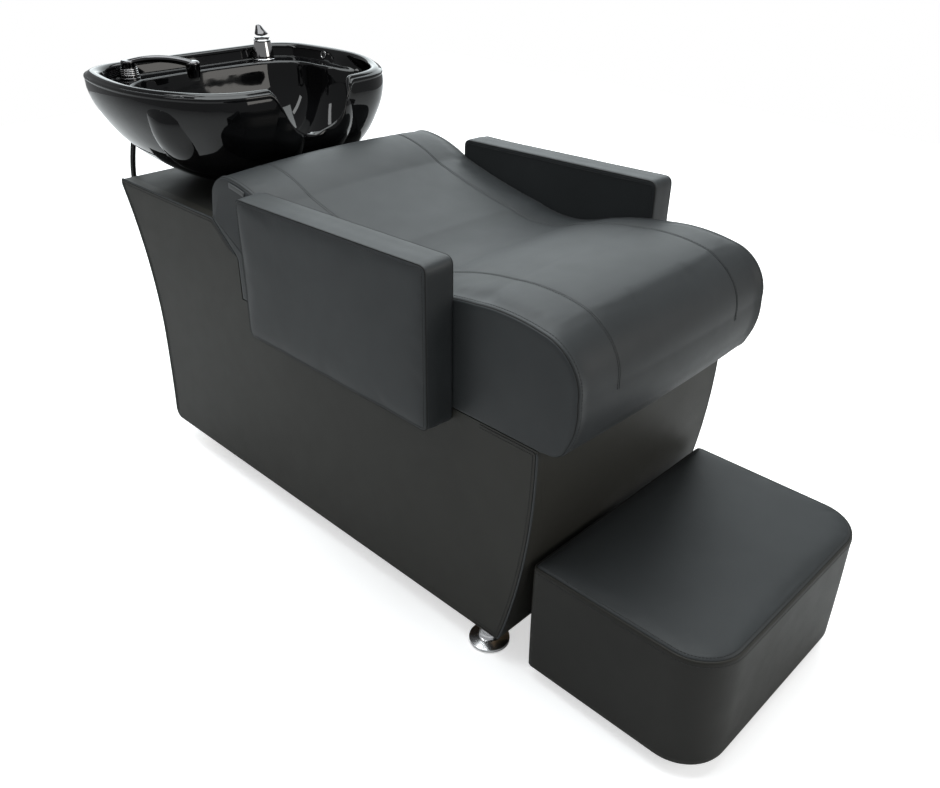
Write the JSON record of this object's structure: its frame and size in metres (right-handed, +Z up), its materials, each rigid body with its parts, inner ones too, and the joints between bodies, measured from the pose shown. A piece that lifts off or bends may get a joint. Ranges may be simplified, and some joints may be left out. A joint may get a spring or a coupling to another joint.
{
  "type": "hair washing bed",
  "caption": "Upholstered salon bed with a wave cushion, padded arms, a deep ceramic washing bowl with mixer and pull-out hand shower, and a footrest block.",
  "frame": {"origin": "on the floor, at the middle of the bed's length and width", "axes": "+Z up, +Y along the bed towards the bowl, +X towards the mixer side"},
  "size_m": [0.666, 1.722, 0.9502],
  "materials": {
    "leatherette_base": "matt grained leatherette over board",
    "inner_board": "bare plywood",
    "foot_chrome": "polished chrome",
    "foot_rubber": "matt rubber",
    "leatherette_cushion": "matt grained leatherette over foam",
    "leatherette_arm": "matt grained leatherette over padded board",
    "stud_steel": "plain steel",
    "leatherette_footrest": "matt grained leatherette over board",
    "glide_plastic": "matt black plastic",
    "bowl_ceramic": "glossy black glaze",
    "gasket_foam": "closed-cell foam rubber",
    "drain_chrome": "polished chrome",
    "drain_brass": "plain brass",
    "trap_plastic": "white plastic",
    "shower_chrome": "dark polished chrome",
    "holder_chrome": "polished chrome",
    "nozzle_rubber": "grey rubber",
    "hose_black": "glossy black sheath",
    "grommet_rubber": "matt rubber",
    "mixer_chrome": "polished chrome",
    "mixer_brass": "plain brass",
    "pin_steel": "plain steel"
  },
  "bodies": {
    "bed": {"front_board": "leatherette_base", "seat_board": "leatherette_base", "riser_board": "leatherette_base", "deck_board": "leatherette_base", "rear_board": "leatherette_base", "base_side_left": "leatherette_base", "base_side_right": "leatherette_base", "bulkhead": "inner_board", "foot_rail_front": "inner_board", "foot_rail_rear": "inner_board", "foot_front_left": "foot_chrome", "foot_front_right": "foot_chrome", "foot_rear_left": "foot_chrome", "foot_rear_right": "foot_chrome", "foot_pads": "foot_rubber", "cushion": "leatherette_cushion", "arm_left": "leatherette_arm", "arm_right": "leatherette_arm", "arm_studs": "stud_steel", "bowl": "bowl_ceramic", "bowl_gasket": "gasket_foam", "drain_flange": "drain_chrome", "clamp_washer": "drain_brass", "drain_nut": "drain_brass", "drain_tail": "trap_plastic", "tail_nut": "trap_plastic", "trap_body": "trap_plastic", "trap_cup": "trap_plastic", "waste_pipe": "trap_plastic", "shower_holder": "holder_chrome", "holder_nut": "holder_chrome", "shower_hose": "hose_black", "hose_grommet": "grommet_rubber", "mixer_body": "mixer_chrome", "mixer_nut": "mixer_brass", "mixer_tails": "mixer_brass"},
    "footrest": {"footrest_body": "leatherette_footrest", "footrest_top": "leatherette_footrest", "footrest_glides": "glide_plastic"},
    "hand_shower": {"shower_body": "shower_chrome", "shower_nozzle": "nozzle_rubber"},
    "mixer_hub_body": {"mixer_hub": "mixer_chrome"},
    "mixer_lever_body": {"mixer_lever": "mixer_chrome", "lever_pin": "pin_steel"},
    "strainer": {"drain_strainer": "drain_chrome"}
  },
  "joints": [
    {"name": "footrest_slide", "type": "slide", "parent": "bed", "child": "footrest", "axis": [0, -1, 0], "range_m": [0, 0.3]},
    {"name": "shower_lift", "type": "slide", "parent": "bed", "child": "hand_shower", "axis": [0, 0, 1], "range_m": [0, 0.15]},
    {"name": "mixer_turn", "type": "hinge", "parent": "bed", "child": "mixer_hub_body", "pos_m": [0.182, 0.81, 0.91], "axis": [0, 0, 1], "range_deg": [-45, 45]},
    {"name": "mixer_lift", "type": "hinge", "parent": "mixer_hub_body", "child": "mixer_lever_body", "pos_m": [0.182, 0.81, 0.9183], "axis": [1, 0, 0], "range_deg": [0, 25]},
    {"name": "strainer_lift", "type": "slide", "parent": "bed", "child": "strainer", "axis": [0, 0, 1], "range_m": [0, 0.04]}
  ]
}
